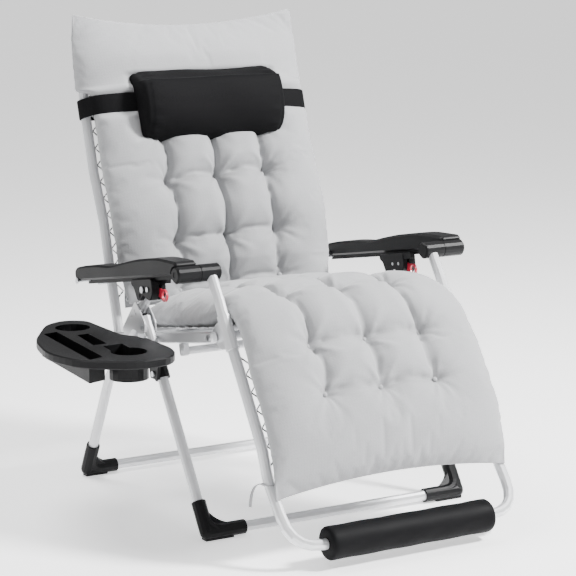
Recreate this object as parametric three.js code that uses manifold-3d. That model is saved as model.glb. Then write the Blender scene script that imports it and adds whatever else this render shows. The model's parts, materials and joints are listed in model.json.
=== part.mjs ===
// Zero gravity recliner: padded sling chair on scissor legs, with arms that slide in locking clamps,
// a side tray and a foam foot roll. Millimetres, +Z up, the chair faces -Y, the sitter's right is -X.
import * as THREE from 'three';
import { mergeVertices } from 'three/addons/utils/BufferGeometryUtils.js';
import Module from 'manifold-3d';

const wasm = await Module();
wasm.setup();

// Driving dimensions.
const GAP = 0.3;
const TUBE_RADIUS = 12.5;
const TUBE_SIDES = 12;
const BEND_STEP_ANGLE = Math.PI / 9;
const BOLT_RADIUS = 4;
const HOLE_RADIUS = BOLT_RADIUS + GAP;
const SPREADER_RADIUS = 10;

// Distance of each side plane from the middle of the chair.
const TUBE_X = 300;
const RAIL_X = 320.8;
const LEG_X = 344;
const ARM_RAIL_X = 350;
const ARM_X = 361;

// Side-view pivots, as (y, z).
const KNEE = new THREE.Vector2(-207, 464);
const ARM_FRONT = new THREE.Vector2(-161, 604);
const ARM_REAR = new THREE.Vector2(352, 512);
const HIP = ARM_REAR.clone().sub(ARM_FRONT).add(KNEE);
const SEAT_PIVOT = KNEE.clone().lerp(HIP, 0.493);
const LEG_PIN = new THREE.Vector2(62, 443);
const CLAMP_PIVOT = new THREE.Vector2(46.2, 536.4);
const LEVER_PIVOT = new THREE.Vector2(20, 541);

// Directions of the arm line, of the rear leg's upper stretch and of the front leg.
const ARM_DIR = ARM_FRONT.clone().sub(ARM_REAR).normalize();
const ARM_UP = new THREE.Vector2(-ARM_DIR.y, ARM_DIR.x).multiplyScalar(-1);
const REAR_LEG_BEND = new THREE.Vector2(275, 280);
const REAR_LEG_DIR = REAR_LEG_BEND.clone().sub(CLAMP_PIVOT).normalize();
const REAR_LEG_UP = new THREE.Vector2(-REAR_LEG_DIR.y, REAR_LEG_DIR.x);
const FRONT_LEG_DIR = SEAT_PIVOT.clone().sub(LEG_PIN).normalize();

const GROUND_BAR_Z = 18;
const REAR_FOOT = new THREE.Vector2(411, GROUND_BAR_Z);
const FRONT_FOOT = new THREE.Vector2(-222, GROUND_BAR_Z);
const FRONT_LEG_TOP = LEG_PIN.clone().addScaledVector(FRONT_LEG_DIR, -26);

const ARM_RAIL_HALF_WIDTH = 6;
const ARM_RAIL_HALF_HEIGHT = 10;
const ARM_PAD_HALF_WIDTH = 28;
const BARREL_RADIUS = 20;
const BARREL_INNER_X = 277;
const BARREL_OUTER_X = 389;

const ROLL_CENTRE = new THREE.Vector2(-528, 53);
const ROLL_RADIUS = 38;
const ROLL_HALF_LENGTH = 215;

const TRAY_TOP_Z = 425;
const TRAY_DEPTH = 20;
const CUP_RADIUS = 42;
const CUP_DEPTH = 62;
const FRONT_CUP = new THREE.Vector2(-466, -82);
const REAR_CUP = new THREE.Vector2(-462, 228);

const WHITE_STEEL = { color: 0xe6e7e8, roughness: 0.35, metalness: 0.1 };
const BRIGHT_STEEL = { color: 0xc8cacc, roughness: 0.3, metalness: 0.9 };
const BLACK_PLASTIC = { color: 0x1c1c1e, roughness: 0.55, metalness: 0 };
const RED_PLASTIC = { color: 0xb3202e, roughness: 0.4, metalness: 0 };
const GREY_FABRIC = { color: 0xc9cbcd, roughness: 0.9, metalness: 0 };
const BLACK_FABRIC = { color: 0x202124, roughness: 0.9, metalness: 0 };
const BLACK_FOAM = { color: 0x18181a, roughness: 0.95, metalness: 0 };

const SIDES = [
  { name: 'right', sign: -1 },
  { name: 'left', sign: 1 },
];

const chair = new THREE.Group();

function add(name, geometry, look) {
  const material = new THREE.MeshStandardMaterial(look);
  const mesh = new THREE.Mesh(geometry, material);
  mesh.name = name;
  chair.add(mesh);
  return mesh;
}

// Solids for joining and cutting.
function solid(geometry) {
  const bare = geometry.clone();
  bare.deleteAttribute('normal');
  bare.deleteAttribute('uv');
  const merged = mergeVertices(bare, 1e-3);
  return new wasm.Manifold(new wasm.Mesh({
    numProp: 3,
    vertProperties: new Float32Array(merged.attributes.position.array),
    triVerts: new Uint32Array(merged.index.array),
  }));
}

function geometryOf(body) {
  const mesh = body.getMesh();
  const geometry = new THREE.BufferGeometry();
  geometry.setAttribute('position', new THREE.BufferAttribute(mesh.vertProperties, 3));
  geometry.setIndex(new THREE.BufferAttribute(mesh.triVerts, 1));
  geometry.computeVertexNormals();
  return geometry;
}

function shaped(joined, cut = []) {
  let body = solid(joined[0]);
  for (const piece of joined.slice(1)) {
    body = body.add(solid(piece));
  }
  for (const piece of cut) {
    body = body.subtract(solid(piece));
  }
  return geometryOf(body);
}

// A round bar between two points.
function rod(from, to, radius, sides = TUBE_SIDES) {
  const span = to.clone().sub(from);
  const geometry = new THREE.CylinderGeometry(radius, radius, span.length(), sides);
  const direction = span.clone().normalize();
  const turn = new THREE.Quaternion().setFromUnitVectors(new THREE.Vector3(0, 1, 0), direction);
  geometry.applyQuaternion(turn);
  const middle = from.clone().add(to).multiplyScalar(0.5);
  geometry.translate(middle.x, middle.y, middle.z);
  return geometry;
}

// The radius of a many-sided bore that clears a many-sided bar however the two are turned.
function boreRadius(radius) {
  return (radius + GAP) / Math.cos(Math.PI / TUBE_SIDES);
}

// A round bar along X at a side-view point.
function crossRod(point, fromX, toX, radius, sides = TUBE_SIDES) {
  const from = new THREE.Vector3(Math.min(fromX, toX), point.x, point.y);
  const to = new THREE.Vector3(Math.max(fromX, toX), point.x, point.y);
  return rod(from, to, radius, sides);
}

// A side-view outline extruded along X.
function plate(shape, fromX, toX, bevel = 0) {
  const low = Math.min(fromX, toX);
  const thickness = Math.abs(toX - fromX);
  const geometry = new THREE.ExtrudeGeometry(shape, {
    depth: thickness - 2 * bevel,
    bevelEnabled: bevel > 0,
    bevelThickness: bevel,
    bevelSize: bevel,
    bevelOffset: -bevel,
    bevelSegments: 1,
    curveSegments: 3,
  });
  const basis = new THREE.Matrix4().makeBasis(
    new THREE.Vector3(0, 1, 0),
    new THREE.Vector3(0, 0, 1),
    new THREE.Vector3(1, 0, 0),
  );
  geometry.applyMatrix4(basis);
  geometry.translate(low + bevel, 0, 0);
  return geometry;
}

// An outline with its corners rounded off.
function roundedOutline(points, radius) {
  const shape = new THREE.Shape();
  points.forEach((corner, index) => {
    const before = points[(index + points.length - 1) % points.length];
    const after = points[(index + 1) % points.length];
    const reach = Math.min(radius, corner.distanceTo(before) / 2.2, corner.distanceTo(after) / 2.2);
    const start = corner.clone().add(before.clone().sub(corner).setLength(reach));
    const end = corner.clone().add(after.clone().sub(corner).setLength(reach));
    if (index === 0) {
      shape.moveTo(start.x, start.y);
    } else {
      shape.lineTo(start.x, start.y);
    }
    shape.quadraticCurveTo(corner.x, corner.y, end.x, end.y);
  });
  shape.closePath();
  return shape;
}

function outline(pairs, radius) {
  return roundedOutline(pairs.map(([a, b]) => new THREE.Vector2(a, b)), radius);
}

// A point beside a line: along it by "along", off it by "off".
function offLine(origin, direction, normal, along, off) {
  return origin.clone().addScaledVector(direction, along).addScaledVector(normal, off);
}

// A curve that runs straight through a list of stations, one per step.
class StationCurve extends THREE.Curve {
  constructor(stations) {
    super();
    this.stations = stations;
  }

  getPoint(t, target = new THREE.Vector3()) {
    const last = this.stations.length - 1;
    const place = Math.min(Math.max(t, 0), 1) * last;
    const index = Math.min(Math.floor(place), last - 1);
    return target.lerpVectors(this.stations[index], this.stations[index + 1], place - index);
  }

  getUtoTmapping(u) {
    return u;
  }
}

// The stations of a path of straight stretches with rounded bends.
function bentStations(corners, bendRadius) {
  const stations = [corners[0].clone()];
  for (let index = 1; index < corners.length - 1; index += 1) {
    const corner = corners[index];
    const back = corners[index - 1].clone().sub(corner);
    const ahead = corners[index + 1].clone().sub(corner);
    const half = back.angleTo(ahead) / 2;
    const bendSteps = Math.ceil((Math.PI - 2 * half) / BEND_STEP_ANGLE);
    const reach = Math.min(bendRadius / Math.tan(half), back.length() / 2.1, ahead.length() / 2.1);
    const start = corner.clone().add(back.clone().setLength(reach));
    const end = corner.clone().add(ahead.clone().setLength(reach));
    const bend = new THREE.QuadraticBezierCurve3(start, corner, end);
    stations.push(...bend.getPoints(bendSteps));
  }
  stations.push(corners[corners.length - 1].clone());
  return stations;
}

function sweep(stations, section) {
  return new THREE.ExtrudeGeometry(section, {
    steps: stations.length - 1,
    bevelEnabled: false,
    extrudePath: new StationCurve(stations),
    curveSegments: TUBE_SIDES / 2,
  });
}

function roundSection(radius, sides = TUBE_SIDES) {
  const points = [];
  for (let index = 0; index < sides; index += 1) {
    const angle = (index / sides) * 2 * Math.PI;
    points.push(new THREE.Vector2(radius * Math.cos(angle), radius * Math.sin(angle)));
  }
  return new THREE.Shape(points);
}

function tube(corners, bendRadius, radius = TUBE_RADIUS, sides = TUBE_SIDES) {
  return sweep(bentStations(corners, bendRadius), roundSection(radius, sides));
}

function at(x, point) {
  return new THREE.Vector3(x, point.x, point.y);
}

// The U of a frame: one side's path down, across, and the mirrored path up.
function mirroredPath(sidePoints) {
  const right = sidePoints.map(([x, y, z]) => new THREE.Vector3(-x, y, z));
  const left = sidePoints.map(([x, y, z]) => new THREE.Vector3(x, y, z)).reverse();
  return [...right, ...left];
}

function boltHoles(point, fromX, toX) {
  return SIDES.map(({ sign }) => crossRod(point, sign * fromX, sign * toX, HOLE_RADIUS));
}

// A bolt with its head outside and its inner end flush.
function bolt(point, sign, innerX, outerX, headRadius, headThickness, shoulder = null) {
  const head = crossRod(point, sign * outerX, sign * (outerX + headThickness), headRadius);
  const joined = [crossRod(point, sign * innerX, sign * (outerX + headThickness / 2), BOLT_RADIUS), head];
  if (shoulder) {
    joined.push(crossRod(point, sign * shoulder.fromX, sign * shoulder.toX, shoulder.radius));
  }
  return shaped(joined);
}

// A round bar across the chair, between the inner ends of two bolts.
function spreader(name, point, halfLength, radius) {
  add(name, crossRod(point, -halfLength, halfLength, radius), WHITE_STEEL);
}

// Base.
const rearLegPath = mirroredPath([
  [LEG_X, CLAMP_PIVOT.x, CLAMP_PIVOT.y],
  [LEG_X, REAR_LEG_BEND.x, REAR_LEG_BEND.y],
  [LEG_X, REAR_FOOT.x, REAR_FOOT.y],
]);
const frontLegPath = mirroredPath([
  [LEG_X, FRONT_LEG_TOP.x, FRONT_LEG_TOP.y],
  [LEG_X, FRONT_FOOT.x, FRONT_FOOT.y],
]);
const FOOT_BEND_RADIUS = 42;

function legFrames() {
  const rear = shaped(
    [tube(rearLegPath, FOOT_BEND_RADIUS)],
    boltHoles(CLAMP_PIVOT, LEG_X - 20, LEG_X + 20),
  );
  add('rear_leg_frame', rear, WHITE_STEEL);
  const front = shaped(
    [tube(frontLegPath, FOOT_BEND_RADIUS)],
    [
      ...boltHoles(LEG_PIN, LEG_X - 20, LEG_X + 20),
      ...boltHoles(SEAT_PIVOT, LEG_X - 20, LEG_X + 20),
    ],
  );
  add('front_leg_frame', front, WHITE_STEEL);
}

// A boot is two sleeves that meet at the foot, with a curved web between them and a flat sole.
function boot(sign, path, foot, legDir, up, along) {
  const sleeveRadius = TUBE_RADIUS + 4.5;
  const webHalfThickness = 8;
  const corner = new THREE.Vector3(sign * LEG_X, foot.x, foot.y);
  const onLeg = (distance) => at(sign * LEG_X, foot.clone().addScaledVector(legDir, -distance));
  const onBar = (distance) => corner.clone().add(new THREE.Vector3(-sign * distance, 0, 0));
  const sleeves = [
    rod(onLeg(up), corner, sleeveRadius),
    rod(corner, onBar(along), sleeveRadius),
    sweep(bentStations([onLeg(up), corner, onBar(along)], FOOT_BEND_RADIUS), roundSection(sleeveRadius)),
  ];
  const knuckle = new THREE.SphereGeometry(sleeveRadius, TUBE_SIDES, 8);
  knuckle.translate(corner.x, corner.y, corner.z);
  const arc = new THREE.QuadraticBezierCurve(
    new THREE.Vector2(along - 3, 6),
    new THREE.Vector2(13, 13),
    new THREE.Vector2(6, up - 3),
  );
  const web = new THREE.ExtrudeGeometry(
    new THREE.Shape([new THREE.Vector2(0, 0), new THREE.Vector2(along - 3, 0), ...arc.getPoints(10),
      new THREE.Vector2(0, up - 3)]),
    { depth: 2 * webHalfThickness, bevelEnabled: false },
  );
  web.translate(0, 0, -webHalfThickness);
  const barDir = onBar(1).sub(corner);
  const upDir = onLeg(1).sub(corner);
  web.applyMatrix4(
    new THREE.Matrix4()
      .makeBasis(barDir, upDir, barDir.clone().cross(upDir))
      .setPosition(corner),
  );
  const sole = new THREE.BoxGeometry(along * 0.75, 1.3 * sleeveRadius, GROUND_BAR_Z);
  sole.translate(sign * (LEG_X + 8 - along * 0.375), foot.x, GROUND_BAR_Z / 2);
  const bore = tube(path, FOOT_BEND_RADIUS, TUBE_RADIUS + GAP);
  const floorCut = new THREE.BoxGeometry(400, 400, 100);
  floorCut.translate(sign * LEG_X, foot.x, -50);
  return shaped([...sleeves, knuckle, web, sole], [bore, floorCut]);
}

function boots() {
  const rearDir = REAR_FOOT.clone().sub(REAR_LEG_BEND).normalize();
  for (const { name, sign } of SIDES) {
    add(`rear_boot_${name}`, boot(sign, rearLegPath, REAR_FOOT, rearDir, 78, 78), BLACK_PLASTIC);
    add(`front_boot_${name}`, boot(sign, frontLegPath, FRONT_FOOT, FRONT_LEG_DIR, 74, 96), BLACK_PLASTIC);
    const plugFrom = FRONT_LEG_TOP.clone().addScaledVector(FRONT_LEG_DIR, -GAP);
    const plugTo = FRONT_LEG_TOP.clone().addScaledVector(FRONT_LEG_DIR, -6);
    add(
      `front_leg_plug_${name}`,
      rod(at(sign * LEG_X, plugFrom), at(sign * LEG_X, plugTo), TUBE_RADIUS - 0.5),
      BLACK_PLASTIC,
    );
  }
}

// Folded sheet gusset: two ears joined by a web behind the rear leg.
const EAR_THICKNESS = 2.5;
const EAR_INNER_X = LEG_X - TUBE_RADIUS - 0.4 - EAR_THICKNESS;
const EAR_OUTER_X = LEG_X + TUBE_RADIUS + 0.4;

function gussets() {
  const onLeg = (along, off) => offLine(CLAMP_PIVOT, REAR_LEG_DIR, REAR_LEG_UP, along, off);
  const webInner = TUBE_RADIUS + 0.5;
  const webOuter = webInner + EAR_THICKNESS;
  const ear = roundedOutline([
    onLeg(60, webOuter),
    onLeg(168, webOuter),
    onLeg(168, -14),
    onLeg(122, -20),
    LEG_PIN.clone().add(new THREE.Vector2(14, -17)),
    LEG_PIN.clone().add(new THREE.Vector2(-13, -12)),
    LEG_PIN.clone().add(new THREE.Vector2(-13, 14)),
  ], 9);
  const web = roundedOutline([
    onLeg(68, webInner),
    onLeg(160, webInner),
    onLeg(160, webOuter),
    onLeg(68, webOuter),
  ], 0.5);
  for (const { name, sign } of SIDES) {
    const innerEar = plate(ear, sign * EAR_INNER_X, sign * (EAR_INNER_X + EAR_THICKNESS));
    const outerEar = plate(ear, sign * EAR_OUTER_X, sign * (EAR_OUTER_X + EAR_THICKNESS));
    const back = plate(web, sign * (EAR_INNER_X + 0.5), sign * (EAR_OUTER_X + 2));
    const rivets = [onLeg(84, 4), onLeg(106, 4), onLeg(84, -6)].map((point) => crossRod(
      point,
      sign * (EAR_OUTER_X + 1),
      sign * (EAR_OUTER_X + EAR_THICKNESS + 1.2),
      3,
      10,
    ));
    add(
      `gusset_${name}`,
      shaped([innerEar, outerEar, back, ...rivets], boltHoles(LEG_PIN, 320, 370)),
      WHITE_STEEL,
    );
    const outerFace = EAR_OUTER_X + EAR_THICKNESS;
    add(`leg_pin_${name}`, bolt(LEG_PIN, sign, EAR_INNER_X, outerFace + GAP, 6, 2.5), BRIGHT_STEEL);
  }
}

// Seat.
const RAIL_HALF_WIDTH = 7.5;
const RAIL_HALF_HEIGHT = 13;
const RAIL_INNER_X = RAIL_X - RAIL_HALF_WIDTH;
const RAIL_OUTER_X = RAIL_X + RAIL_HALF_WIDTH;
const RAIL_DIR = KNEE.clone().sub(HIP).normalize();
const RAIL_UP = new THREE.Vector2(RAIL_DIR.y, -RAIL_DIR.x);
const RAIL_LENGTH = KNEE.distanceTo(HIP);
const CROSS_BAR_ALONG = 382;
const CROSS_BAR_DROP = 31;
const CROSS_BAR_RADIUS = 9.5;

function seatFrame() {
  const onRail = (along, off) => offLine(HIP, RAIL_DIR, RAIL_UP, along, off);
  const rail = roundedOutline([
    onRail(-20, -RAIL_HALF_HEIGHT),
    onRail(RAIL_LENGTH + 16, -RAIL_HALF_HEIGHT),
    onRail(RAIL_LENGTH + 16, RAIL_HALF_HEIGHT),
    onRail(-20, RAIL_HALF_HEIGHT),
  ], 11);
  const barCentre = onRail(CROSS_BAR_ALONG, -CROSS_BAR_DROP);
  const lug = roundedOutline([
    onRail(CROSS_BAR_ALONG - 13, -RAIL_HALF_HEIGHT - GAP),
    onRail(CROSS_BAR_ALONG + 13, -RAIL_HALF_HEIGHT - GAP),
    onRail(CROSS_BAR_ALONG + 11, -CROSS_BAR_DROP - 11),
    onRail(CROSS_BAR_ALONG - 11, -CROSS_BAR_DROP - 11),
  ], 6);
  const crossBar = [crossRod(barCentre, -RAIL_OUTER_X, RAIL_OUTER_X, CROSS_BAR_RADIUS)];
  for (const { name, sign } of SIDES) {
    const holes = [HIP, KNEE, SEAT_PIVOT].flatMap((point) => boltHoles(point, RAIL_X - 15, RAIL_X + 15));
    add(
      `seat_rail_${name}`,
      shaped([plate(rail, sign * RAIL_INNER_X, sign * RAIL_OUTER_X, 3)], holes),
      WHITE_STEEL,
    );
    crossBar.push(plate(lug, sign * (RAIL_INNER_X + 1), sign * (RAIL_OUTER_X - 1)));
    crossBar.push(crossRod(barCentre, sign * RAIL_OUTER_X, sign * (RAIL_OUTER_X + 2), 5, 12));
  }
  add('seat_cross_bar', shaped(crossBar), WHITE_STEEL);
  const tubeInner = TUBE_X - TUBE_RADIUS;
  const kneePlateInner = TUBE_X - 7;
  const railFace = RAIL_OUTER_X + GAP;
  for (const { name, sign } of SIDES) {
    const seatBolt = bolt(SEAT_PIVOT, sign, RAIL_INNER_X, LEG_X + TUBE_RADIUS + GAP, 8, 4);
    add(`seat_bolt_${name}`, seatBolt, BRIGHT_STEEL);
    add(`hip_bolt_${name}`, bolt(HIP, sign, tubeInner, railFace, 7, 2.4), BRIGHT_STEEL);
    add(`knee_bolt_${name}`, bolt(KNEE, sign, kneePlateInner, railFace, 7, 2.4), BRIGHT_STEEL);
  }
  spreader('seat_spreader', SEAT_PIVOT, RAIL_INNER_X - GAP, TUBE_RADIUS);
  spreader('hip_spreader', HIP, tubeInner - GAP, SPREADER_RADIUS);
  spreader('knee_spreader', KNEE, kneePlateInner - GAP, SPREADER_RADIUS);
}

// Back.
const BACK_LINE = [
  [300, 345],
  [HIP.x, HIP.y],
  [350, 514],
  [386, 644],
  [440, 762],
  [478, 890],
  [521, 1098],
];
const BACK_TOP_X = 300;

function backFrame() {
  const path = mirroredPath(BACK_LINE.map(([y, z]) => [BACK_TOP_X, y, z]));
  const frame = shaped(
    [tube(path, 70)],
    [
      ...boltHoles(HIP, TUBE_X - 20, TUBE_X + 20),
      ...boltHoles(ARM_REAR, TUBE_X - 20, TUBE_X + 20),
    ],
  );
  add('back_frame', frame, WHITE_STEEL);
}

// Footrest.
const FOOT_LINE = [
  [-172, 594],
  [-206, 546],
  [-241, 485],
  [-308, 384],
  [-396, 250],
  [-424, 178],
  [ROLL_CENTRE.x, ROLL_CENTRE.y],
];

function footFrame() {
  const path = mirroredPath(FOOT_LINE.map(([y, z]) => [TUBE_X, y, z]));
  add('footrest_frame', tube(path, 80), WHITE_STEEL);
  const roll = new THREE.LatheGeometry([
    new THREE.Vector2(TUBE_RADIUS + GAP, -ROLL_HALF_LENGTH),
    new THREE.Vector2(ROLL_RADIUS - 5, -ROLL_HALF_LENGTH),
    new THREE.Vector2(ROLL_RADIUS, -ROLL_HALF_LENGTH + 5),
    new THREE.Vector2(ROLL_RADIUS, ROLL_HALF_LENGTH - 5),
    new THREE.Vector2(ROLL_RADIUS - 5, ROLL_HALF_LENGTH),
    new THREE.Vector2(TUBE_RADIUS + GAP, ROLL_HALF_LENGTH),
    new THREE.Vector2(TUBE_RADIUS + GAP, -ROLL_HALF_LENGTH),
  ], 24);
  roll.rotateZ(-Math.PI / 2);
  roll.translate(0, ROLL_CENTRE.x, ROLL_CENTRE.y);
  const clearance = tube(path, 80, TUBE_RADIUS + GAP);
  add('foot_roll', shaped([roll], [clearance]), BLACK_FOAM);

  const sleeveFrom = new THREE.Vector2(-224, 514);
  const sleeveTo = new THREE.Vector2(-268, 444);
  const ear = outline([[-196, 452], [-192, 478], [-222, 504], [-262, 452], [-240, 440]], 10);
  for (const { name, sign } of SIDES) {
    const sleeve = rod(at(sign * TUBE_X, sleeveFrom), at(sign * TUBE_X, sleeveTo), TUBE_RADIUS + 3);
    const web = plate(ear, sign * (TUBE_X - 6), sign * (TUBE_X + 11));
    add(
      `knee_bracket_${name}`,
      shaped([sleeve, web], [clearance, ...boltHoles(KNEE, TUBE_X - 30, TUBE_X + 30)]),
      WHITE_STEEL,
    );
  }
}

// Arms.
const ARM_LENGTH = ARM_REAR.distanceTo(ARM_FRONT);
const ARM_REAR_OVERHANG = 16;

function onArm(along, off) {
  return offLine(ARM_REAR, ARM_DIR, ARM_UP, along, off);
}

function arms() {
  const barrelClear = BARREL_RADIUS + 0.8;
  const railOutline = (margin) => roundedOutline([
    onArm(-10 - margin, -ARM_RAIL_HALF_HEIGHT - margin),
    onArm(ARM_LENGTH - barrelClear - 2 + margin, -ARM_RAIL_HALF_HEIGHT - margin),
    onArm(ARM_LENGTH - barrelClear - 2 + margin, ARM_RAIL_HALF_HEIGHT + margin),
    onArm(-10 - margin, ARM_RAIL_HALF_HEIGHT + margin),
  ], 3);
  const padOutline = roundedOutline([
    onArm(-ARM_REAR_OVERHANG, 0),
    onArm(ARM_LENGTH - 10, 0),
    onArm(ARM_LENGTH + 8, 21),
    onArm(ARM_LENGTH + 2, 30),
    onArm(ARM_LENGTH - 90, 42),
    onArm(ARM_LENGTH - 190, 42),
    onArm(ARM_LENGTH - 260, 37),
    onArm(ARM_LENGTH - 330, 30),
    onArm(ARM_LENGTH - 420, 36),
    onArm(ARM_LENGTH - 480, 36),
    onArm(-ARM_REAR_OVERHANG, 32),
  ], 26);
  for (const { name, sign } of SIDES) {
    const railInner = sign * (ARM_RAIL_X - ARM_RAIL_HALF_WIDTH);
    const railOuter = sign * (ARM_RAIL_X + ARM_RAIL_HALF_WIDTH);
    const boltHole = crossRod(ARM_REAR, sign * 320, sign * 400, HOLE_RADIUS);
    const rail = plate(railOutline(0), railInner, railOuter);
    add(`arm_rail_${name}`, shaped([rail], [boltHole]), BLACK_PLASTIC);
    const pad = plate(
      padOutline,
      sign * (ARM_X - ARM_PAD_HALF_WIDTH),
      sign * (ARM_X + ARM_PAD_HALF_WIDTH),
      5,
    );
    const groove = plate(railOutline(GAP), railInner - sign * GAP, railOuter + sign * GAP);
    const barrelRoom = crossRod(ARM_FRONT, sign * 320, sign * 400, barrelClear, 20);
    add(`arm_pad_${name}`, shaped([pad], [groove, boltHole, barrelRoom]), BLACK_PLASTIC);
    const spacer = { fromX: TUBE_X + TUBE_RADIUS + GAP, toX: ARM_X - ARM_PAD_HALF_WIDTH - GAP, radius: 15 };
    const padFace = ARM_X + ARM_PAD_HALF_WIDTH + GAP;
    add(
      `arm_bolt_${name}`,
      bolt(ARM_REAR, sign, TUBE_X - TUBE_RADIUS, padFace, 7, 3, spacer),
      BRIGHT_STEEL,
    );
    barrel(name, sign);
  }
}

function barrel(name, sign) {
  const groove = 1.2;
  const profile = [
    [0, BARREL_INNER_X],
    [BARREL_RADIUS - 4, BARREL_INNER_X],
    [BARREL_RADIUS, BARREL_INNER_X + 4],
    [BARREL_RADIUS, 328],
    [BARREL_RADIUS - groove, 329],
    [BARREL_RADIUS - groove, 331],
    [BARREL_RADIUS, 332],
    [BARREL_RADIUS, BARREL_OUTER_X - 4],
    [BARREL_RADIUS - 4, BARREL_OUTER_X],
    [8, BARREL_OUTER_X],
    [7, BARREL_OUTER_X - 1.5],
    [0, BARREL_OUTER_X - 1.5],
  ].map(([radius, x]) => new THREE.Vector2(radius, x));
  const body = new THREE.LatheGeometry(profile, 16);
  body.rotateZ(-Math.PI / 2);
  if (sign < 0) {
    body.rotateZ(Math.PI);
  }
  body.translate(0, ARM_FRONT.x, ARM_FRONT.y);
  const path = FOOT_LINE.map(([y, z]) => new THREE.Vector3(sign * TUBE_X, y, z));
  const top = path[0].clone().sub(path[1]).setLength(2).add(path[0]);
  const socket = rod(top, path[1], boreRadius(TUBE_RADIUS));
  const thumb = crossRod(ARM_FRONT.clone().add(new THREE.Vector2(-6, -26)), sign * 338, sign * 346, 9);
  add(`barrel_${name}`, shaped([body], [socket, thumb]), BLACK_PLASTIC);
}

// Clamps: a saddle under the arm rail, open upwards, on a pin through the rear leg's top.
const CLAMP_INNER_X = 328.9;
const CLAMP_OUTER_X = 366;
const SADDLE_FLOOR = -ARM_RAIL_HALF_HEIGHT - 3.5;
const CLAMP_TOP = -4.5;
const CLAMP_ALONG = CLAMP_PIVOT.clone().sub(ARM_REAR).dot(ARM_DIR);
const CLAMP_OFF = CLAMP_PIVOT.clone().sub(ARM_REAR).dot(ARM_UP);

function clampPoint(ahead, off) {
  return onArm(CLAMP_ALONG + ahead, off);
}

function clamps() {
  const cheek = roundedOutline([
    clampPoint(-58, CLAMP_TOP),
    clampPoint(50, CLAMP_TOP),
    clampPoint(50, -40),
    clampPoint(36, -57),
    clampPoint(18, -54),
    clampPoint(4, -40),
    clampPoint(-12, -55),
    clampPoint(-32, -56),
    clampPoint(-38, -42),
    clampPoint(-46, -24),
    clampPoint(-58, -18),
  ], 9);
  const nose = roundedOutline([
    clampPoint(44, CLAMP_TOP),
    clampPoint(82, CLAMP_TOP),
    clampPoint(82, -19),
    clampPoint(44, -19),
  ], 2);
  const wedgeTop = TUBE_RADIUS + 1;
  const legRoom = new THREE.Shape([
    CLAMP_PIVOT.clone().addScaledVector(ARM_DIR, 14).addScaledVector(ARM_UP, wedgeTop),
    CLAMP_PIVOT.clone().addScaledVector(ARM_DIR, -120).addScaledVector(ARM_UP, wedgeTop),
    CLAMP_PIVOT.clone().addScaledVector(REAR_LEG_DIR, 120).addScaledVector(REAR_LEG_UP, -14),
    CLAMP_PIVOT.clone().addScaledVector(REAR_LEG_DIR, -4).addScaledVector(REAR_LEG_UP, -14),
    CLAMP_PIVOT.clone().addScaledVector(ARM_DIR, 14),
  ]);
  const leverRoom = roundedOutline([
    clampPoint(8, -20),
    clampPoint(90, -20),
    clampPoint(90, -80),
    clampPoint(8, -80),
  ], 2);
  const lever = roundedOutline([
    LEVER_PIVOT.clone().add(new THREE.Vector2(9, 7)),
    LEVER_PIVOT.clone().add(new THREE.Vector2(9, -7)),
    LEVER_PIVOT.clone().add(new THREE.Vector2(-32, -18)),
    LEVER_PIVOT.clone().add(new THREE.Vector2(-34, 3)),
  ], 3);
  const ringCentre = LEVER_PIVOT.clone().add(new THREE.Vector2(-44, -9));
  for (const { name, sign } of SIDES) {
    const aboveFloor = roundedOutline([
      clampPoint(-90, SADDLE_FLOOR),
      clampPoint(110, SADDLE_FLOOR),
      clampPoint(110, 30),
      clampPoint(-90, 30),
    ], 1);
    const saddle = plate(
      aboveFloor,
      sign * (ARM_RAIL_X - ARM_RAIL_HALF_WIDTH - 0.6),
      sign * (ARM_RAIL_X + ARM_RAIL_HALF_WIDTH + 0.6),
    );
    const housing = plate(cheek, sign * CLAMP_INNER_X, sign * CLAMP_OUTER_X, 1.5);
    const noseBlock = plate(nose, sign * (CLAMP_INNER_X + 2), sign * 342);
    const rivetFrom = sign * (CLAMP_OUTER_X - 1);
    const rivet = crossRod(clampPoint(-20, -44), rivetFrom, sign * (CLAMP_OUTER_X + 1.6), 5, 12);
    const slot = plate(legRoom, sign * (LEG_X - TUBE_RADIUS - 0.4), sign * (LEG_X + TUBE_RADIUS + 0.4));
    const leverSlot = plate(leverRoom, sign * (LEG_X - 3.2), sign * (LEG_X + 3.2));
    const pinHole = crossRod(CLAMP_PIVOT, sign * 320, sign * 375, HOLE_RADIUS);
    const leverHole = crossRod(LEVER_PIVOT, sign * 320, sign * 375, HOLE_RADIUS);
    add(
      `clamp_${name}`,
      shaped([housing, noseBlock, rivet], [saddle, slot, leverSlot, pinHole, leverHole]),
      BLACK_PLASTIC,
    );
    const headFace = CLAMP_OUTER_X + GAP;
    add(`clamp_pin_${name}`, bolt(CLAMP_PIVOT, sign, CLAMP_INNER_X, headFace, 8, 3), BRIGHT_STEEL);
    add(`lever_pin_${name}`, bolt(LEVER_PIVOT, sign, CLAMP_INNER_X, headFace, 6, 2), BRIGHT_STEEL);
    const ring = crossRod(ringCentre, sign * (LEG_X - 2.6), sign * (LEG_X + 2.6), 15, 20);
    const ringHole = crossRod(ringCentre, sign * 320, sign * 375, 10, 16);
    const tongue = plate(lever, sign * (LEG_X - 2.6), sign * (LEG_X + 2.6));
    const leverBore = crossRod(LEVER_PIVOT, sign * 320, sign * 375, HOLE_RADIUS);
    add(`lock_lever_${name}`, shaped([ring, tongue], [ringHole, leverBore]), RED_PLASTIC);
  }
}

// Side tray on the right front leg.
function flatPlate(shape, topZ, thickness, bevel = 0) {
  const geometry = new THREE.ExtrudeGeometry(shape, {
    depth: thickness - 2 * bevel,
    bevelEnabled: bevel > 0,
    bevelThickness: bevel,
    bevelSize: bevel,
    bevelOffset: -bevel,
    bevelSegments: 1,
    curveSegments: 4,
  });
  geometry.translate(0, 0, topZ - thickness + bevel);
  return geometry;
}

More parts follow.
